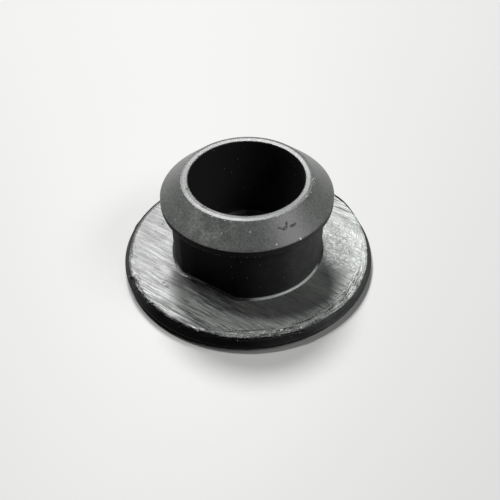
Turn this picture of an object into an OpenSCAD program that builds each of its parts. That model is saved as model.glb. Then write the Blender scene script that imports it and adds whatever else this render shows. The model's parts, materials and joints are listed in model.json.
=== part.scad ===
// Snap-in rubber drain plug: a wide flange, a neck with one flat that keys it in its hole,
// and a barbed head that a blind bore makes soft enough to squeeze through.
// The part stands on its flange: Z = 0 is the flange's underside, and the flat faces -Y.

/* [Flange] */
// Widest diameter of the flange, at the bulge of its rim
flange_d = 38.3; // [37.4:0.1:50]
// Diameter of the flat upper face
flange_face_d = 37; // [30:0.1:38]
// Thickness of the flange
flange_h = 2.5; // [2:0.1:6]
// Radius that rounds the rim under to the resting face
flange_under_r = 1.2; // [0.4:0.1:1.9]

/* [Neck] */
// Diameter of the neck, a light press fit in its hole
neck_d = 22.8; // [21.6:0.1:24.4]
// Clear length between the flange and the barb, which is the wall that it grips
neck_h = 9.6; // [2:0.1:25]
// Depth of the flat, cut into the round neck
neck_flat_cut = 1.1; // [0.3:0.1:2]
// Radius of the fillet at the neck's foot
neck_foot_r = 0.4; // [0.2:0.1:2]

/* [Head] */
// Diameter of the barb
head_d = 25.4; // [23.6:0.1:29]
// Height of the straight band round the barb
head_band_h = 1.25; // [0.5:0.05:4]
// Radius under the band, where the barb lets go of the wall
head_under_r = 0.3; // [0.1:0.05:0.5]
// Height of the lead-in cone above the band
head_cone_h = 2.9; // [1:0.1:8]
// Diameter of the flat ring at the top of the cone
head_top_d = 19.2; // [18:0.1:23]

/* [Bore] */
// Diameter of the blind bore at its mouth
bore_d = 17; // [12:0.1:17.6]
// Depth of the bore from the head's top
bore_depth = 13.3; // [5:0.1:15]
// Draft of the bore's wall in degrees
bore_draft = 1; // [0:0.25:2]
// Radius of the fillet round the bore's floor
bore_floor_r = 1; // [0.2:0.1:3]

/* [Hidden] */
$fn = 128;
overrun = 1;                                  // how far a cut runs past the surface it opens

flange_r = flange_d / 2;
neck_r = neck_d / 2;
flat_r = neck_r - neck_flat_cut;              // distance from the axis to the flat
head_r = head_d / 2;
barb_z = flange_h + neck_h;                   // underside of the barb
cone_z = barb_z + head_band_h;                // foot of the lead-in cone
top_z = cone_z + head_cone_h;                 // top of the head
floor_z = top_z - bore_depth;                 // floor of the bore

// Material inside a wall that stands at x = dist, with a fillet at its foot on the flange
module footed_wall(dist) {
    translate([0, flange_h / 2]) square([dist, barb_z + head_band_h / 2 - flange_h / 2]);
    translate([dist, flange_h]) difference() {
        square(neck_foot_r);
        translate([neck_foot_r, neck_foot_r]) circle(neck_foot_r);
    }
}

// Quarter round that fills the lower outer corner of a disc, its lowest point at height z
module under_round(outer_r, round_r, z) {
    intersection() {
        translate([outer_r - round_r, z + round_r]) circle(round_r);
        translate([outer_r - round_r, z]) square(round_r);
    }
}

module flange() {
    rotate_extrude() {
        polygon([
            [0, 0], [flange_r - flange_under_r, 0], [flange_r, flange_under_r],
            [flange_face_d / 2, flange_h], [0, flange_h]
        ]);
        under_round(flange_r, flange_under_r, 0);
    }
}

// The round neck and the flat are two footed walls, and the neck is what they share
module neck() {
    intersection() {
        rotate_extrude() footed_wall(neck_r);
        translate([flange_r, 0, 0]) rotate([90, 0, -90]) linear_extrude(flange_d) {
            footed_wall(flat_r);
            translate([-flange_r, 0]) square([flange_r, top_z]);
        }
    }
}

module head() {
    rotate_extrude() {
        polygon([
            [0, barb_z], [head_r - head_under_r, barb_z], [head_r, barb_z + head_under_r],
            [head_r, cone_z], [head_top_d / 2, top_z], [0, top_z]
        ]);
        under_round(head_r, head_under_r, barb_z);
    }
}

module bore() {
    wall_slope = tan(bore_draft);
    mouth_r = bore_d / 2 + overrun * wall_slope;
    foot_r = bore_d / 2 - bore_depth * wall_slope;
    round_x = foot_r + bore_floor_r * wall_slope - bore_floor_r / cos(bore_draft);
    rotate_extrude() {
        polygon([
            [0, floor_z], [round_x, floor_z],
            [
                round_x + bore_floor_r * cos(bore_draft),
                floor_z + bore_floor_r * (1 - sin(bore_draft))
            ],
            [mouth_r, top_z + overrun], [0, top_z + overrun]
        ]);
        intersection() {
            translate([round_x, floor_z + bore_floor_r]) circle(bore_floor_r);
            translate([round_x, floor_z]) square(bore_floor_r);
        }
    }
}

// One moulding in black rubber
module drain_plug() {
    color([0.07, 0.07, 0.075]) difference() {
        union() {
            flange();
            neck();
            head();
        }
        bore();
    }
}

drain_plug();
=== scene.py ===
import json
import math
import random
import bmesh
import bpy
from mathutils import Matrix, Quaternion, Vector


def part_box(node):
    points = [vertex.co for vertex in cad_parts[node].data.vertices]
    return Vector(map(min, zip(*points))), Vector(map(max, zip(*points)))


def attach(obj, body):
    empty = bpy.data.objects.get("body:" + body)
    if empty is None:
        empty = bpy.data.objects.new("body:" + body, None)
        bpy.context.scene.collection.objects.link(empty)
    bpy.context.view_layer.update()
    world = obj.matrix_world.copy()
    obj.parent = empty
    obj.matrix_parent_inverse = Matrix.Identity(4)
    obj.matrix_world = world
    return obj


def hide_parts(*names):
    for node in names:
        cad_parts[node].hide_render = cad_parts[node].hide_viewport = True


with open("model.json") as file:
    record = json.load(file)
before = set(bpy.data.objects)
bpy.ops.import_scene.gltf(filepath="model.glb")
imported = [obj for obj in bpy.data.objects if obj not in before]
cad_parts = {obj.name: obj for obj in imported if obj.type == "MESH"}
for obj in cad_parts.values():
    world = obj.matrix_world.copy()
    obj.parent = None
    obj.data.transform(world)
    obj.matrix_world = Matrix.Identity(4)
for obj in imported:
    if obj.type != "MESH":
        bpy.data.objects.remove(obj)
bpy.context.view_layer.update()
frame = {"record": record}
mm = 0.001
mounts = {m["name"]: m for m in frame["record"]["mounts"]}
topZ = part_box("drain_plug")[1].z / mm                 # the head's top, in millimetres
faceZ = mounts["seal_face"]["pos_m"][2] / mm          # the flange's upper face
neckRadius = mounts["neck"]["dims"]["r_mm"]
print("frame loaded: the face at", round(faceZ, 3), "mm, the top at", round(topZ, 3), "mm")


def lookFrom(azimuth, elevation):
    # azimuth 0 is the front, where the neck's flat faces
    turn = math.radians(azimuth)
    rise = math.radians(elevation)
    return Vector((math.sin(turn) * math.cos(rise), -math.cos(turn) * math.cos(rise), math.sin(rise)))


def aimFrom(thing, back):
    thing.rotation_mode = "QUATERNION"
    thing.rotation_quaternion = (-back).to_track_quat("-Z", "Y")


cameraSetup = {
    "azimuth": 34.41,           # degrees
    "elevation": 44.09,
    "distance": 123.6 * mm,
    "aim": Vector((0.84, -0.70, 2.5)) * mm,
    "roll": -1.0,
    "lens": 57.6,               # on the 36 mm sensor
    "nearest": 5 * mm,
    "farthest": 10,
}


def addCamera(setup):
    back = lookFrom(setup["azimuth"], setup["elevation"])
    bpy.ops.object.camera_add(location=setup["aim"] + back * setup["distance"])
    camera = bpy.context.object
    camera.name = "productCamera"
    aimFrom(camera, back)
    camera.rotation_quaternion @= Quaternion((0, 0, 1), math.radians(setup["roll"]))
    camera.data.lens = setup["lens"]
    camera.data.clip_start = setup["nearest"]
    camera.data.clip_end = setup["farthest"]
    bpy.context.scene.camera = camera


plugShape = {
    "segments": 720,
    "flangeRadius": 19.15,      # all lengths in millimetres
    "faceRadius": 18.5,         # edge of the flange's upper face
    "underRadius": 1.2,         # rounds the rim under
    "lipDepth": 0.16,           # the trimmed lip over the rim's wall
    "flash": 0.09,              # how far the parting line stands out at the bulge
    "footRadius": 0.4,
    "flatCut": 1.1,             # depth of the neck's flat
    "flatFade": 2.2,            # how far past the foot the rings of the face still bend to the flat
    "cornerReach": 1.0,         # what is smoothed to either side of the flat's corners
    "cornerSpread": 0.3,        # and how far past the foot
    "cornerSmoothing": 10,
    "barbRadius": 12.7,
    "barbBottom": 12.1,
    "bandHeight": 1.25,
    "underBarb": 0.3,
    "topRadius": 9.6,
    "crown": 0.07,              # fall of the top ring to either side
    "boreRadius": 8.5,
    "boreDepth": 13.3,
    "boreDraft": 1.0,           # degrees
    "boreFloorRadius": 1.0,
    "hubRadius": 1.0,           # innermost ring of the bore's floor
    "smoothAngle": 35,          # degrees; sharper edges stay sharp
    "hair": 0.01,               # what counts as the same place
}


def filletRun(before, corner, after, radius, steps):
    # points of the arc of that radius that rounds one corner of an outline
    a = (before - corner).normalized()
    b = (after - corner).normalized()
    half = a.angle(b) / 2
    reach = radius / math.tan(half)
    centre = corner + (a + b).normalized() * (radius / math.sin(half))
    start = corner + a * reach - centre
    end = corner + b * reach - centre
    sweep = start.angle(end)
    run = []
    for k in range(steps + 1):
        t = k / steps
        along = start * math.sin((1 - t) * sweep) + end * math.sin(t * sweep)
        run.append(centre + along / math.sin(sweep))
    return run


def softOutline(corners):
    # corners are (radius, height, rounding, steps of the rounding, longest straight step up to it)
    places = [Vector((c[0], c[1])) for c in corners]
    outline = [places[0]]
    for i in range(1, len(corners)):
        rounding, steps, longest = corners[i][2:]
        if rounding:
            run = filletRun(places[i - 1], places[i], places[i + 1], rounding, steps)
        else:
            run = [places[i]]
        gap = run[0] - outline[-1]
        parts = max(1, math.ceil(gap.length / longest))
        start = outline[-1].copy()
        outline += [start + gap * (k / parts) for k in range(1, parts)]
        outline += run
    return outline


def plugOutline(shape):
    bandTop = shape["barbBottom"] + shape["bandHeight"]
    floorZ = topZ - shape["boreDepth"]
    floorRadius = shape["boreRadius"] - shape["boreDepth"] * math.tan(math.radians(shape["boreDraft"]))
    face = shape["faceRadius"]
    lip = shape["lipDepth"]
    bulge = shape["flangeRadius"]
    flash = shape["flash"]
    under = shape["underRadius"]
    crown = shape["crown"]
    return softOutline([
        (bulge - under, 0, 0, 0, 1),
        (bulge, 0, under - 0.06, 6, 1),                         # the rim rounds under
        (bulge, under, 0.03, 2, 1),                             # the parting line
        (bulge - flash, under + 0.06, 0.03, 2, 0.2),
        (face + lip, faceZ - 2.2 * lip, 0.05, 3, 0.25),         # the rim's wall, up to the lip
        (face - 0.6 * lip, faceZ - 1.6 * lip, 0.04, 2, 0.2),
        (face + 0.2 * lip, faceZ - 0.5 * lip, 0.04, 2, 0.1),
        (face - 0.3, faceZ, 0.05, 2, 0.08),
        (face - 1.4, faceZ, 0, 0, 0.11),                        # close rings, which the wear moves
        (neckRadius, faceZ, shape["footRadius"], 6, 0.6),
        (neckRadius, shape["barbBottom"], 0.1, 2, 1.6),
        (shape["barbRadius"], shape["barbBottom"], shape["underBarb"], 3, 1.1),
        (shape["barbRadius"], bandTop, 0.12, 3, 0.5),
        (shape["topRadius"], topZ - crown, 0.14, 4, 0.17),      # the lead-in cone
        (shape["topRadius"] - 0.45, topZ, 0.3, 2, 0.15),
        (shape["boreRadius"], topZ - crown, 0.12, 4, 0.15),     # the bore's mouth
        (floorRadius, floorZ, shape["boreFloorRadius"], 4, 2.2),
        (shape["hubRadius"], floorZ, 0, 0, 1.6),
    ])


def azimuthOf(p):
    return math.degrees(math.atan2(p.y, p.x)) % 360


def radiusOf(p):
    return math.hypot(p.x, p.y)


def inArc(p, start, end):
    return (azimuthOf(p) - start) % 360 <= end - start


def selectPlaces(piece, test):
    # in edit mode: selects the vertices whose place, in millimetres, passes the test
    bpy.ops.mesh.select_all(action="DESELECT")
    shell = bmesh.from_edit_mesh(piece.data)
    chosen = [v for v in shell.verts if not v.hide and test(v.co / mm)]
    for v in chosen:
        v.select = True
    shell.select_flush(True)
    bmesh.update_edit_mesh(piece.data)
    return len(chosen)


def turnMoulding(shape, outline):
    # rings are drawn out of a disc one by one, and the rings of the neck are pressed flat as they come
    flat = neckRadius - shape["flatCut"]
    foot = neckRadius + shape["footRadius"]
    bpy.ops.object.select_all(action="DESELECT")
    first = outline[0] * mm
    bpy.ops.mesh.primitive_circle_add(
        vertices=shape["segments"], radius=first.x, fill_type="NGON", location=(0, 0, 0))
    piece = bpy.context.object
    bpy.ops.object.mode_set(mode="EDIT")
    bpy.context.tool_settings.mesh_select_mode = (True, False, False)
    bpy.ops.mesh.select_all(action="SELECT")
    last = first
    for point in outline[1:]:
        ring = point * mm
        bpy.ops.mesh.extrude_region_move(TRANSFORM_OT_translate={"value": (0, 0, ring.y - last.y)})
        scale = ring.x / last.x
        bpy.ops.transform.resize(value=(scale, scale, 1), center_override=(0, 0, ring.y))
        last = ring
    bpy.ops.mesh.poke()                           # closes the bore's floor with a fan
    hair = shape["hair"]
    for point in reversed(outline):
        onNeck = faceZ < point.y <= shape["barbBottom"] and neckRadius - hair < point.x < foot + hair
        onFace = abs(point.y - faceZ) < hair / 10 and point.x < foot + shape["flatFade"]
        if not (onNeck or onFace):
            continue
        # past the foot the flat eases out into the round face
        away = flat + point.x - neckRadius + (point.x > foot) * (point.x - foot) / 2
        if selectPlaces(piece, lambda p: p.y < -away and abs(p.z - point.y) < hair / 5
                        and abs(radiusOf(p) - point.x) < 2 * hair):
            centre = (0, -away * mm, point.y * mm)
            bpy.ops.transform.resize(value=(1, 0, 1), center_override=centre)
    cornerX = math.sqrt(neckRadius ** 2 - flat ** 2)
    selectPlaces(piece, lambda p: p.y < 0 and abs(abs(p.x) - cornerX) < shape["cornerReach"]
                 and faceZ - hair < p.z < shape["barbBottom"] + hair
                 and flat < radiusOf(p) < foot + shape["cornerSpread"])
    bpy.ops.mesh.vertices_smooth(factor=0.5, repeat=shape["cornerSmoothing"], zaxis=False)
    bpy.ops.object.mode_set(mode="OBJECT")
    return piece


# azimuths here are in degrees from +X towards +Y, and lengths are in millimetres
rimWear = {
    "seed": 11,
    "reachIn": 0.95,            # how far in from the edge the face may be dragged along
    "reachDown": 0.45,
    "pushWidth": 0.25,          # width of the edge that a push takes hold of
    "pushArc": 0.6,             # and half its length, in degrees
    "pushes": {                 # azimuth, reach along the rim, then outward and up
        "rubbedFront": (266, 11, -0.27, 0.0),
        "jag": (233.2, 0.5, 0.36, 0.0),
        "jagNotch": (236.5, 1.2, -0.22, -0.05),
        "curled": (243, 2.6, 0.16, 0.0),
        "tear": (286, 2.0, -0.16, -0.05),
        "pulledFront": (303, 5, 0.26, -0.02),
        "dragged": (329, 3, 0.26, -0.10),
        "rolledRight": (346, 9, 0.10, -0.17),
        "rolledFar": (5, 7, 0.15, -0.12),
        "flatRight": (31, 5, -0.10, 0.0),
        "flatBack": (45, 3, -0.10, 0.0),
        "pulledBack": (70, 6, 0.38, 0.0),
        "flatLeft": (181, 6, -0.13, 0.0),
        "kink": (197.5, 1.6, 0.12, 0.0),
        "nickedLeft": (214, 4, -0.14, 0.0),
    },
    "tearWidth": 0.55,
    "tearDepth": 0.3,
    "tears": {                  # from azimuth, to azimuth, raggedness
        "left": (150, 232, 0.012),
        "curl": (232, 292, 0.035),
        "torn": (292, 318, 0.060),
        "dragged": (318, 340, 0.045),
        "right": (340, 390, 0.022),
    },
    "scallopWidth": 0.3,
    "scallopDepth": 0.35,
    "scallops": {               # from azimuth, to azimuth, share of the places, reach, outward, up
        "curlBites": (238, 292, 0.012, 0.5, -0.13, 0.0),
        "curlBurrs": (238, 292, 0.012, 0.3, 0.13, 0.03),
        "tornBites": (288, 326, 0.03, 0.45, -0.20, -0.03),
        "tornBurrs": (288, 326, 0.04, 0.25, 0.20, 0.04),
        "tornDips": (284, 335, 0.03, 0.4, 0.0, -0.12),
        "draggedBites": (322, 352, 0.012, 0.5, -0.13, -0.03),
        "draggedBurrs": (322, 352, 0.012, 0.3, 0.12, 0.03),
        "farBites": (352, 592, 0.004, 0.5, -0.08, 0.0),
    },
    "scuffWidth": 1.5,          # from the edge in; the scallops' width of it is left out
    "scuffs": {                 # from azimuth, to azimuth, roughness of the band inside the lip
        "front": (236, 316, 0.010),
        "right": (316, 380, 0.016),
    },
    "ridgeWidth": 0.14,
    "ridgeDepth": 0.4,
    "ridges": {                 # radius, from azimuth, to azimuth, height
        "inner": (17.75, 318, 352, 0.035),
        "middle": (17.98, 322, 378, 0.03),
        "curlGroove": (18.22, 235, 247, -0.12),
    },
    "rolls": {                  # from azimuth, to azimuth, width of the edge that is rolled over, fall
        "backLeft": (118, 222, 0.55, 0.2),
    },
    "rollSteps": 5,
    "rollDepth": 0.4,
    "rollTaper": 3,             # degrees that each step is shorter than the last, at either end
}


def pull(x, y, z, falloff, reach):
    # moves what is selected, and what lies within reach of it by less; all in millimetres
    bpy.ops.transform.translate(
        value=(x * mm, y * mm, z * mm), use_proportional_edit=True,
        proportional_edit_falloff=falloff, proportional_size=reach * mm)


def wearRim(piece, shape, wear):
    # the trimmed lip: pushed about over wide arcs first, then torn, then drawn out into burrs
    draw = random.Random(wear["seed"])
    edge = shape["faceRadius"]
    bpy.ops.object.mode_set(mode="EDIT")
    selectPlaces(piece, lambda p: p.z > faceZ - wear["reachDown"] and radiusOf(p) > edge - wear["reachIn"])
    bpy.ops.mesh.hide(unselected=True)
    for azimuth, reach, out, up in wear["pushes"].values():
        turn = math.radians(azimuth)
        selectPlaces(piece, lambda p: radiusOf(p) > edge - wear["pushWidth"]
                     and inArc(p, azimuth - wear["pushArc"], azimuth + wear["pushArc"]))
        pull(math.cos(turn) * out, math.sin(turn) * out, up, "SMOOTH", reach)
    for start, end, rough in wear["tears"].values():
        selectPlaces(piece, lambda p: radiusOf(p) > edge - wear["tearWidth"]
                     and p.z > faceZ - wear["tearDepth"] and inArc(p, start, end))
        bpy.ops.transform.vertex_random(offset=rough * mm, seed=draw.randrange(1000))
    for start, end, share, reach, out, up in wear["scallops"].values():
        selectPlaces(piece, lambda p: radiusOf(p) > edge - wear["scallopWidth"]
                     and p.z > faceZ - wear["scallopDepth"] and inArc(p, start, end)
                     and draw.random() < share)
        scale = 1 + out / edge
        bpy.ops.transform.resize(
            value=(scale, scale, 1), center_override=(0, 0, 0), use_proportional_edit=True,
            proportional_edit_falloff="SHARP", proportional_size=reach * mm)
        pull(0, 0, up, "SHARP", reach)
    bpy.ops.mesh.reveal(select=False)
    for start, end, rough in wear["scuffs"].values():
        selectPlaces(piece, lambda p: edge - wear["scuffWidth"] < radiusOf(p) < edge - wear["scallopWidth"]
                     and p.z > faceZ - wear["tearDepth"] and inArc(p, start, end))
        bpy.ops.transform.vertex_random(offset=rough * mm, seed=draw.randrange(1000))
    for start, end, width, fall in wear["rolls"].values():
        for step in range(wear["rollSteps"]):
            inner = edge - width * (1 - step / wear["rollSteps"])
            taper = wear["rollTaper"] * step
            selectPlaces(piece, lambda p: radiusOf(p) > inner and p.z > faceZ - wear["rollDepth"]
                         and inArc(p, start + taper, end - taper))
            bpy.ops.transform.translate(value=(0, 0, -fall / wear["rollSteps"] * mm))
    for radius, start, end, height in wear["ridges"].values():
        selectPlaces(piece, lambda p: abs(radiusOf(p) - radius) < wear["ridgeWidth"] / 2
                     and p.z > faceZ - wear["ridgeDepth"] and inArc(p, start, end))
        bpy.ops.transform.translate(value=(0, 0, height * mm))
    bpy.ops.object.mode_set(mode="OBJECT")


headWear = {                    # all in millimetres
    "ringDepth": 0.14,          # what may move: the top ring, and the cone outside coneRadius
    "coneDepth": 4.5,
    "coneRadius": 9.2,
    "nickWidth": 0.24,
    "cutWidth": 0.15,
    "cutDepth": 0.09,
    "cuts": {                   # the two ends of each cut in the cone
        "hook": ((9.1, -5.91, 15.08), (9.76, -5.35, 14.81)),
        "hookBend": ((9.76, -5.35, 14.81), (9.81, -4.84, 14.99)),
        "hookTip": ((9.81, -4.84, 14.99), (9.63, -4.55, 15.27)),
        "slash": ((10.22, -4.48, 14.79), (10.48, -3.51, 14.89)),
    },
    "nicks": {                  # place, reach, then outward and up
        "innerFront": ((-1.18, -8.6, 16.2), 0.4, 0.22, -0.1),
        "innerLeft": ((-5.4, -6.7, 16.2), 0.5, 0.12, -0.05),
        "burrRight": ((8.4, 4.7, 16.2), 0.35, 0.12, 0.03),
        "burrRightLow": ((9.6, 1.0, 16.15), 0.3, 0.12, 0.03),
        "bandRight": ((11.85, -4.45, 13.3), 0.35, 0.12, 0.05),
        "bandFront": ((9.85, -7.45, 13.4), 0.3, 0.1, 0.04),
        "bandLow": ((6.0, -11.2, 12.3), 0.6, -0.12, 0.1),
    },
}


def distanceToCut(p, start, run):
    along = min(1, max(0, (p - start).dot(run) / run.length_squared))
    return (p - start - run * along).length


def wearHead(piece, wear):
    bpy.ops.object.mode_set(mode="EDIT")
    selectPlaces(piece, lambda p: p.z > topZ - wear["ringDepth"]
                 or (p.z > topZ - wear["coneDepth"] and radiusOf(p) > wear["coneRadius"]))
    bpy.ops.mesh.hide(unselected=True)
    for place, reach, out, up in wear["nicks"].values():
        centre = Vector(place)
        away = Vector((centre.x, centre.y, 0)).normalized() * out
        selectPlaces(piece, lambda p: (p - centre).length < wear["nickWidth"] / 2)
        pull(away.x, away.y, up, "SHARP", reach)
    for a, b in wear["cuts"].values():
        start = Vector(a)
        run = Vector(b) - start
        inward = -Vector((start.x, start.y, start.xy.length)).normalized() * wear["cutDepth"] * mm
        selectPlaces(piece, lambda p: distanceToCut(p, start, run) < wear["cutWidth"] / 2)
        bpy.ops.transform.translate(value=inward)
    bpy.ops.mesh.reveal(select=False)
    bpy.ops.object.mode_set(mode="OBJECT")


def makePlug(shape):
    outline = plugOutline(shape)
    piece = turnMoulding(shape, outline)
    print("moulding turned:", len(outline), "rings,", len(piece.data.polygons), "faces")
    wearRim(piece, shape, rimWear)
    wearHead(piece, headWear)
    bpy.ops.object.shade_smooth_by_angle(angle=math.radians(shape["smoothAngle"]))
    piece.name = "plugMoulding"
    print("rim and head worn")
    return piece


class Sock:
    def __init__(self, tree, socket):
        self.tree = tree
        self.socket = socket

    def math(self, operation, *others):
        return node(self.tree, "ShaderNodeMath", {"operation": operation}, [self, *others])

    def __add__(self, other):
        return self.math("ADD", other)

    def __radd__(self, other):
        return self.math("ADD", other)

    def __sub__(self, other):
        return self.math("SUBTRACT", other)

    def __rsub__(self, other):
        return node(self.tree, "ShaderNodeMath", {"operation": "SUBTRACT"}, [other, self])

    def __mul__(self, other):
        return self.math("MULTIPLY", other)

    def __rmul__(self, other):
        return self.math("MULTIPLY", other)

    def __truediv__(self, other):
        return self.math("DIVIDE", other)

    def __pow__(self, other):
        return self.math("POWER", other)


def node(tree, kind, settings=None, inputs=None, output=0):
    made = tree.nodes.new(kind)
    for key, value in (settings or {}).items():
        setattr(made, key, value)
    pairs = inputs.items() if isinstance(inputs, dict) else enumerate(inputs or [])
    for key, value in pairs:
        if isinstance(value, Sock):
            tree.links.new(value.socket, made.inputs[key])
        else:
            made.inputs[key].default_value = value
    return Sock(tree, made.outputs[output])


def vector(tree, x, y, z):
    return node(tree, "ShaderNodeCombineXYZ", inputs=[x, y, z])


def vectorMath(tree, operation, *inputs, output=0):
    return node(tree, "ShaderNodeVectorMath", {"operation": operation}, inputs, output)


def newMaterial(name):
    material = bpy.data.materials.new(name)
    material.use_nodes = True
    tree = material.node_tree
    shader = tree.nodes["Principled BSDF"]
    return material, tree, shader


def ramp(value, low, high):
    # 0 below low, 1 above high, and smooth between them
    return node(value.tree, "ShaderNodeMapRange", {"interpolation_type": "SMOOTHSTEP"},
                {"Value": value, "From Min": low, "From Max": high})


def between(value, low, high, soft):
    return ramp(value, low - soft, low + soft) * (1 - ramp(value, high - soft, high + soft))


def mixTone(a, b, mask):
    return a + (b - a) * mask


def noise(tree, place, scale, detail=2, roughness=0.5):
    # scale is in cycles a millimetre along x, y and z
    stretched = vectorMath(tree, "MULTIPLY", place, scale)
    inputs = {"Vector": stretched, "Scale": 1, "Detail": detail, "Roughness": roughness}
    return node(tree, "ShaderNodeTexNoise", inputs=inputs)


class Spot:
    # what every rubber finish reads: the place in millimetres, its parts and its distance from the axis
    def __init__(self, tree):
        place = node(tree, "ShaderNodeTexCoord", output="Object")
        self.tree = tree
        self.place = node(tree, "ShaderNodeVectorMath", {"operation": "SCALE"},
                          {"Vector": place, "Scale": 1 / mm})
        self.x = node(tree, "ShaderNodeSeparateXYZ", inputs=[self.place], output=0)
        self.y = node(tree, "ShaderNodeSeparateXYZ", inputs=[self.place], output=1)
        self.z = node(tree, "ShaderNodeSeparateXYZ", inputs=[self.place], output=2)
        self.radius = (self.x * self.x + self.y * self.y) ** 0.5

    def near(self, point, inner, outer):
        # 1 within inner of a point, 0 beyond outer
        return 1 - ramp(vectorMath(self.tree, "DISTANCE", self.place, point, output=1), inner, outer)


rubberTint = (0.955, 1.0, 0.96, 1)


def paintRubber(tree, shader, tone, roughness, height, depth):
    # tone is a grey from 0 to 1, and depth is the relief of the bump in millimetres
    colour = node(tree, "ShaderNodeMix", {"data_type": "RGBA"},
                  {0: tone, 6: (0, 0, 0, 1), 7: rubberTint}, output=2)
    bump = node(tree, "ShaderNodeBump", inputs={"Strength": 1, "Distance": depth * mm, "Height": height})
    tree.links.new(colour.socket, shader.inputs["Base Color"])
    tree.links.new(roughness.socket, shader.inputs["Roughness"])
    tree.links.new(bump.socket, shader.inputs["Normal"])


def specks(tree, place, perMm, size, share):
    # grains that sit in a share of the cells of a Voronoi pattern
    cells = {"Vector": place, "Scale": perMm}
    gap = node(tree, "ShaderNodeTexVoronoi", inputs=cells, output="Distance")
    colour = node(tree, "ShaderNodeTexVoronoi", inputs=cells, output="Color")
    pick = node(tree, "ShaderNodeSeparateColor", inputs=[colour])
    return (1 - ramp(gap, 0.4 * size * perMm, size * perMm)) * ramp(pick, 1 - share, 1 - 0.8 * share)


def facing(at, azimuth, low, high):
    # rises from 0 to 1 as the direction from the axis comes round to an azimuth; low and high are cosines
    turn = math.radians(azimuth)
    return ramp((at.x * math.cos(turn) + at.y * math.sin(turn)) / at.radius, low, high)


trimmedFinish = {               # the flange's upper face, abraded along X
    "tone": 0.2,
    "roughness": 0.41,
    "specular": 0.95,
    "streakDepth": 0.03,        # millimetres
    "streakTurn": 2,            # degrees that the streaks lean off X
    "crossTurn": 65,            # degrees between the streaks and the stray scratches across them
    "crossPlace": (9.5, -12.0, 2.5),
    "mottledPlace": (11.8, 8.0, 2.5),
    "palePlace": (-3.2, -14.5, 2.5),
    "dullPlace": (-4.5, -11.6, 2.5),
    "shadedPlace": (13.9, 1.3, 2.5),
    "rimSide": 335,             # azimuths, in degrees from +X towards +Y
    "calmSide": 0,
    "softSide": 190,
    "paleSide": 34,
    "wornSide": 176,
    "burrSide": 314,
    "fleck": (-11.33, -15.08, 2.36),
    "marks": {                  # place and size of each dent, in millimetres
        "leftUpper": ((-14.18, -3.31, 2.5), 0.28),
        "leftLower": ((-14.08, -5.22, 2.5), 0.2),
        "smudge": ((-5.2, -13.75, 2.5), 0.45),
        "smudgeTail": ((-6.1, -13.5, 2.5), 0.35),
        "tick": ((10.57, -10.93, 2.5), 0.2),
        "tickTail": ((10.3, -11.3, 2.5), 0.16),
    },
}


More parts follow.
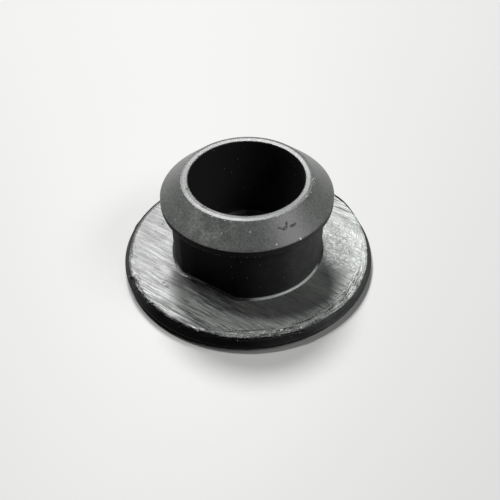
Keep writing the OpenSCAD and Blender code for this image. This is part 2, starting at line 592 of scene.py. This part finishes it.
def trimmedRubber(finish, shape):
    material, tree, shader = newMaterial("trimmedRubber")
    shader.inputs["Specular IOR Level"].default_value = finish["specular"]
    at = Spot(tree)
    edge = shape["faceRadius"]
    wander = noise(tree, at.place, (0.12, 0.3, 0.2)) * 0.8
    leant = node(tree, "ShaderNodeVectorRotate", {"rotation_type": "Z_AXIS"},
                 {"Vector": at.place, "Angle": math.radians(finish["streakTurn"])})
    along = vectorMath(tree, "ADD", leant, vector(tree, 0.0, wander, 0.0))
    broad = noise(tree, along, (0.1, 1.2, 0.5), 2, 0.6)
    fine = noise(tree, along, (0.26, 3.8, 1), 2, 0.65)
    blotch = noise(tree, at.place, (0.5, 0.5, 0.5), 4, 0.6)
    grit = noise(tree, at.place, (5, 7, 5), 2, 0.7)
    # towards the rim the streaks give way to marks that run round it, and the face is painted a little
    # darker there, as shade where the edge rolls away from the sheen
    rim = ramp(at.radius, edge - 2, edge - 1) * facing(at, finish["rimSide"], 0.6, 0.85)
    rounds = noise(tree, vector(tree, at.radius * 4.5, at.x * 0.4, at.y * 0.4), (1, 1, 1), 4, 0.7)
    turned = node(tree, "ShaderNodeVectorRotate", {"rotation_type": "Z_AXIS"},
                  {"Vector": at.place, "Angle": math.radians(finish["crossTurn"])})
    cross = noise(tree, turned, (0.5, 4.5, 1), 2, 0.6)
    crossing = at.near(finish["crossPlace"], 1.5, 5.0) * ramp(cross, 0.58, 0.7)
    streaks = mixTone(ramp(fine, 0.41, 0.59) * 0.75 + ramp(broad, 0.38, 0.62) * 0.25,
                      ramp(rounds + 0.6 * (grit - 0.5), 0.42, 0.58), rim)
    calm = facing(at, finish["calmSide"], 0.1, 0.8) * (1 - ramp(at.radius, edge - 3, edge - 1))
    streaks = mixTone(streaks, 0.5, 0.75 * calm)
    streaks = mixTone(streaks, 0.4, 0.62 * facing(at, finish["softSide"], 0.2, 0.9))
    streaks = mixTone(streaks, 0.7, 0.5 * at.near(finish["palePlace"], 1.0, 3.5))
    # painted shade on the strip beside the flat's foot
    streaks = mixTone(streaks, 0.1, 0.6 * at.near(finish["dullPlace"], 0.5, 3.0))
    # a painted shadow of the head on the face, to the right of the neck
    paintedNeckShadow = at.near(finish["shadedPlace"], 0.2, 3.8)
    # the far right is pebbled instead: raised grains with gaps between them, painted brighter as a sheen
    # on the grains and darker as shade in the gaps
    pitted = at.near(finish["mottledPlace"], 3.5, 8.0)
    bend = vector(tree, blotch * 1.5, noise(tree, at.place, (0.9, 0.9, 1)) * 1.5, 0.0)
    bent = vectorMath(tree, "ADD", at.place, bend)
    gap = node(tree, "ShaderNodeTexVoronoi", {"feature": "DISTANCE_TO_EDGE"},
               {"Vector": bent, "Scale": 1.15}, output="Distance")
    worms = (1 - ramp(gap, 0.02, 0.22)) * pitted * ramp(blotch, 0.25, 0.55)
    # pale is a painted sheen that lifts the right side of the face
    pale = facing(at, finish["paleSide"], 0.55, 0.9)
    streaks = mixTone(streaks, 0.85, 0.75 * pitted)
    fibres = ramp(noise(tree, vector(tree, at.radius * 3, at.x, at.y), (1, 1, 1), 3, 0.7), 0.52, 0.68)
    fibres = fibres * ramp(at.radius, edge - 2.3, edge - 0.5) * ramp(-1 * at.y, 5, 12)
    fibres = fibres * ramp(blotch, 0.3, 0.55)
    dents = 0
    for place, size in finish["marks"].values():
        dents = at.near(place, 0.3 * size, size) + dents
    dents = ramp(dents * (0.5 + grit), 0.3, 0.9)
    # the outer edge on the left-back is rubbed rough, and painted almost black there as shade where the
    # rolled edge turns from the sheen
    worn = ramp(at.radius, edge - 0.4, edge - 0.2) * facing(at, finish["wornSide"], 0.7, 0.85)
    fleck = at.near(finish["fleck"], 0.1, 0.2)
    burrs = specks(tree, at.place, 1.6, 0.26, 0.7) * ramp(at.radius, edge - 1, edge - 0.7)
    burrs = burrs * facing(at, finish["burrSide"], 0.87, 0.96)
    tone = finish["tone"] * (0.1 + 1.8 * streaks) * (0.8 + 0.4 * blotch) * (0.5 + grit)
    tone = tone * (1 + 0.4 * crossing + 1.6 * fibres) * (1 - 0.75 * dents) * (1 - 0.35 * worms)
    tone = tone * (1 + 0.9 * pale) * (1 - 0.15 * rim) * (1 - 0.93 * worn) * (1 - 0.4 * paintedNeckShadow)
    tone = mixTone(tone, 0.9, ramp(fleck + 0.6 * burrs, 0, 1))
    roughness = finish["roughness"] + (0.5 - streaks) * 0.2 + (blotch - 0.5) * 0.2 + (0.5 - grit) * 0.3
    roughness = roughness + 0.1 * worms + 0.3 * worn + 0.1 * rim + 0.08 * paintedNeckShadow
    height = mixTone(fine + 0.7 * broad, rounds, rim) + 0.25 * grit + 0.25 * crossing
    height = height + 0.5 * fibres + 0.5 * burrs - dents - 0.4 * worms
    height = height + 5 * pitted * noise(tree, bent, (1.1, 1.1, 1), 2, 0.5)
    paintRubber(tree, shader, tone, roughness, height, finish["streakDepth"])
    return material


footFinish = {                  # the rounded foot of the neck
    "tone": 0.07,
    "paleTone": 0.95,           # painted highlight, where a lamp glints off the foot's round
    "paleSide": 338,            # azimuths
    "paleLeft": 250,
    "roughness": 0.25,
    "specular": 1.0,
    "grainDepth": 0.003,
}


def footRubber(finish):
    material, tree, shader = newMaterial("footRubber")
    at = Spot(tree)
    shader.inputs["Specular IOR Level"].default_value = finish["specular"]
    grain = noise(tree, at.place, (2, 2, 2), 3, 0.7)
    low = 1 - ramp(at.z + 0.2 * (grain - 0.5), faceZ + 0.22, faceZ + 0.36)
    # the pale line is a painted highlight: brightest where a lamp glints off the round of the foot, with a
    # fainter one by the flat's left corner
    pale = facing(at, finish["paleSide"], 0.78, 0.95) + 0.45 * facing(at, finish["paleLeft"], 0.93, 0.995)
    tone = mixTone(finish["tone"], finish["paleTone"], ramp(pale, 0, 1) * low) * (0.55 + grain)
    paintRubber(tree, shader, tone, finish["roughness"] + 0.2 * (grain - 0.5), grain, finish["grainDepth"])
    return material


headFinish = {
    "coneTone": 0.15,
    "coneRoughness": 0.39,
    "ringTone": 0.12,
    "ringRoughness": 0.4,
    "specular": 0.95,
    "dustTone": 0.75,
    "dustPlace": (1.0, -11.0, 14.9),
    "flecks": {                 # pale flecks: place and size
        "right": ((11.8, -4.45, 13.45), 0.2),
        "front": ((9.8, -7.4, 13.72), 0.17),
        "middle": ((6.32, -8.63, 15.22), 0.13),
        "top": ((8.35, 4.8, 16.25), 0.15),
    },
    "grainDepth": 0.005,
}


def headRubber(finish, shape):
    material, tree, shader = newMaterial("headRubber")
    shader.inputs["Specular IOR Level"].default_value = finish["specular"]
    at = Spot(tree)
    ringRadius = shape["topRadius"]
    ring = ramp(at.z, topZ - 0.15, topZ - 0.08)
    grain = ramp(noise(tree, at.place, (3.4, 3.4, 3.4), 4, 0.85), 0.30, 0.70)
    cloud = noise(tree, at.place, (0.45, 0.45, 0.45), 4, 0.6)
    patch = at.near(finish["dustPlace"], 1.5, 7.0) * ramp(cloud, 0.3, 0.7)
    burrs = between(at.z, topZ - 0.25, topZ - 0.05, 0.03)
    burrs = burrs * ramp(at.radius, ringRadius - 0.4, ringRadius - 0.2)
    dust = specks(tree, at.place, 1.3, 0.12, 0.10) + 0.5 * specks(tree, at.place, 3.5, 0.1, 0.6) * patch
    dust = dust + specks(tree, at.place, 2.5, 0.14, 0.5) * burrs
    for place, size in finish["flecks"].values():
        dust = dust + at.near(place, 0.5 * size, size)
    dust = ramp(dust, 0, 1)
    tone = mixTone(finish["coneTone"], finish["ringTone"], ring)
    tone = tone * (0.38 + 1.0 * grain + 0.2 * cloud) * (1 + 0.7 * patch)
    tone = mixTone(tone, finish["dustTone"], dust * (1 - ring * 0.7))
    roughness = mixTone(finish["coneRoughness"], finish["ringRoughness"], ring) + 0.12 * (grain - 0.5)
    paintRubber(tree, shader, tone, roughness, grain + 3 * dust, finish["grainDepth"])
    return material


mouldedFinish = {               # the neck, the bore, the rim and the underside
    # the neck's and the rim wall's tones are near black: the rubber's own black, painted darker still as
    # the shade they sit in
    "neckTone": 0.008,
    # the haze is partly a real dust haze and partly a painted sheen, lighter on the sides that face the
    # lamps
    "hazeTone": 0.11,
    "hazeSide": 356,            # azimuths
    "hazeLeft": 222,
    "boreTone": 0.035,
    "floorTone": 0.09,
    "siltTone": 0.65,           # where dust has settled along the floor's far side
    "siltSide": 125,
    "rimTone": 0.006,
    "rimHazeTone": 0.11,
    "dustTone": 0.35,
    "fleck": (-11.36, -15.12, 2.3),
    "roughness": 0.5,
    "specular": 0.05,
    "grainDepth": 0.003,
}


def mouldedRubber(finish, shape):
    material, tree, shader = newMaterial("mouldedRubber")
    at = Spot(tree)
    shader.inputs["Specular IOR Level"].default_value = finish["specular"]
    floorZ = topZ - shape["boreDepth"]
    barbZ = shape["barbBottom"]
    inside = 1 - ramp(at.radius, shape["boreRadius"], shape["boreRadius"] + 0.1)
    low = 1 - ramp(at.z, faceZ - 0.2, faceZ)
    grain = noise(tree, at.place, (4, 4, 4), 3, 0.7)
    cloud = noise(tree, at.place, (0.6, 0.6, 0.6), 4, 0.65)
    # a mottled haze, lighter on the sides facing the lamps: partly real haze, partly painted sheen
    hazeAndSheen = facing(at, finish["hazeSide"], 0.45, 1.0) + facing(at, finish["hazeSide"], 0.88, 0.99)
    hazeAndSheen = 0.5 * hazeAndSheen * (0.4 + 1.2 * cloud) + 0.5 * facing(at, finish["hazeLeft"], 0.78, 1.0)
    floor = inside * (1 - ramp(at.z, floorZ + 0.05, floorZ + 0.45)) * ramp(cloud, 0.3, 0.7)
    tone = mixTone(mixTone(finish["neckTone"], finish["hazeTone"], hazeAndSheen),
                   mixTone(finish["rimTone"], finish["rimHazeTone"], hazeAndSheen), low)
    tone = mixTone(tone, finish["boreTone"], inside)
    silt = facing(at, finish["siltSide"], 0.2, 0.9) * ramp(at.radius, 4.2, 6.0)
    silt = silt * (1 - ramp(at.z, floorZ + 0.05, floorZ + 0.15))
    tone = mixTone(mixTone(tone, finish["floorTone"], floor), finish["siltTone"], inside * silt * cloud)
    tone = tone * (0.6 + 0.8 * grain)
    edge = between(at.z, barbZ + 0.04, barbZ + 0.3, 0.05)
    edge = edge * ramp(at.radius, shape["barbRadius"] - 0.4, shape["barbRadius"] - 0.2)
    dust = specks(tree, at.place, 1.4, 0.13, 0.22) + specks(tree, at.place, 4, 0.16, 0.6) * edge
    dust = dust + at.near(finish["fleck"], 0.1, 0.2)
    tone = mixTone(tone, finish["dustTone"], ramp(dust, 0, 1) * (0.3 + 0.7 * grain))
    roughness = finish["roughness"] + 0.1 * (grain - 0.5)
    paintRubber(tree, shader, tone, roughness, grain + 2 * dust, finish["grainDepth"])
    return material


def finishPlug(piece, shape):
    # the trimmed face, the head and the neck's foot have finishes of their own, and the rest is as moulded
    bandTop = shape["barbBottom"] + shape["bandHeight"]
    hair = shape["hair"]
    pastBore = shape["boreRadius"] + 1
    piece.data.materials.append(mouldedRubber(mouldedFinish, shape))
    piece.data.materials.append(trimmedRubber(trimmedFinish, shape))
    piece.data.materials.append(headRubber(headFinish, shape))
    piece.data.materials.append(footRubber(footFinish))
    bpy.ops.object.mode_set(mode="EDIT")
    bpy.context.tool_settings.mesh_select_mode = (False, False, True)
    zones = {
        1: lambda p: faceZ - 0.3 < p.z < faceZ + hair and p.length > pastBore
        and radiusOf(p) < shape["faceRadius"],
        2: lambda p: p.z > bandTop - 0.06 and radiusOf(p) > shape["boreRadius"],
        3: lambda p: faceZ + hair < p.z < faceZ + shape["footRadius"] and p.length > pastBore,
    }
    for slot, test in zones.items():
        bpy.ops.mesh.select_all(action="DESELECT")
        shell = bmesh.from_edit_mesh(piece.data)
        for face in shell.faces:
            if test(face.calc_center_median() / mm):
                face.select = True
        bmesh.update_edit_mesh(piece.data)
        piece.active_material_index = slot
        bpy.ops.object.material_slot_assign()
    bpy.ops.object.mode_set(mode="OBJECT")


studio = {
    "floorColour": (0.70, 0.70, 0.69, 1),
    "floorRoughness": 0.5,
    "floorBounce": (0.12, 0.12, 0.12, 1),   # what the floor sends back to the rubber
    "floorSize": 3.0,
    "floorFade": (0.07, 0.28),  # metres from the plug over which it turns into the backdrop
    "backdropColour": (0.80, 0.80, 0.79, 1),
    "worldStrength": 0.012,
    "lamps": {                  # azimuth and elevation in degrees, distance, width, height, watts
        "back": (222, 52, 0.5, 0.17, 0.12, 1.8),
        "left": (267, 71, 0.5, 0.07, 0.07, 1.0),
        "right": (102, 45, 0.5, 0.36, 0.14, 0.65),
    },
}


def addFloor():
    bpy.ops.object.select_all(action="DESELECT")
    bpy.ops.mesh.primitive_plane_add(size=studio["floorSize"], location=(0, 0, 0))
    floor = bpy.context.object
    floor.name = "floor"
    material, tree, shader = newMaterial("paleFloor")
    shader.inputs["Base Color"].default_value = studio["floorColour"]
    shader.inputs["Roughness"].default_value = studio["floorRoughness"]
    bounce = node(tree, "ShaderNodeBsdfDiffuse", inputs={"Color": studio["floorBounce"]})
    rays = tree.nodes.new("ShaderNodeLightPath")
    seen = Sock(tree, rays.outputs["Is Camera Ray"]) + Sock(tree, rays.outputs["Is Glossy Ray"])
    seen = seen + Sock(tree, rays.outputs["Is Transmission Ray"])
    pale = Sock(tree, shader.outputs[0])
    surface = node(tree, "ShaderNodeMixShader", inputs=[seen, bounce, pale])
    # far from the lamps the floor runs on into the backdrop at one even tone
    place = node(tree, "ShaderNodeTexCoord", output="Object")
    away = vectorMath(tree, "LENGTH", place, output=1)
    backdrop = node(tree, "ShaderNodeEmission", inputs={"Color": studio["backdropColour"]})
    far = ramp(away, *studio["floorFade"]) * seen
    surface = node(tree, "ShaderNodeMixShader", inputs=[far, surface, backdrop])
    tree.links.new(surface.socket, tree.nodes["Material Output"].inputs["Surface"])
    floor.data.materials.append(material)


def addLamps():
    for name, (azimuth, elevation, distance, width, height, watts) in studio["lamps"].items():
        away = lookFrom(azimuth, elevation)
        bpy.ops.object.light_add(type="AREA", location=away * distance)
        lamp = bpy.context.object
        lamp.name = name + "Lamp"
        lamp.data.shape = "ELLIPSE"
        lamp.data.size = width
        lamp.data.size_y = height
        lamp.data.energy = watts
        aimFrom(lamp, away)


def addWorld():
    world = bpy.data.worlds.new("studioWorld")
    bpy.context.scene.world = world
    world.use_nodes = True
    tree = world.node_tree
    light = tree.nodes["Background"]
    light.inputs["Strength"].default_value = studio["worldStrength"]
    light.inputs["Color"].default_value = (1, 1, 1, 1)
    # black rubber would mirror the pale backdrop, so only the camera sees it
    seen = node(tree, "ShaderNodeLightPath", output="Is Camera Ray")
    backdrop = node(tree, "ShaderNodeBackground", inputs={"Color": studio["backdropColour"]})
    fill = Sock(tree, light.outputs[0])
    surface = node(tree, "ShaderNodeMixShader", inputs=[seen, fill, backdrop])
    tree.links.new(surface.socket, tree.nodes["World Output"].inputs["Surface"])


bpy.context.scene.view_settings.view_transform = "Standard"
addCamera(cameraSetup)
plug = makePlug(plugShape)
finishPlug(plug, plugShape)
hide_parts("drain_plug")
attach(plug, "root")
addFloor()
addLamps()
addWorld()
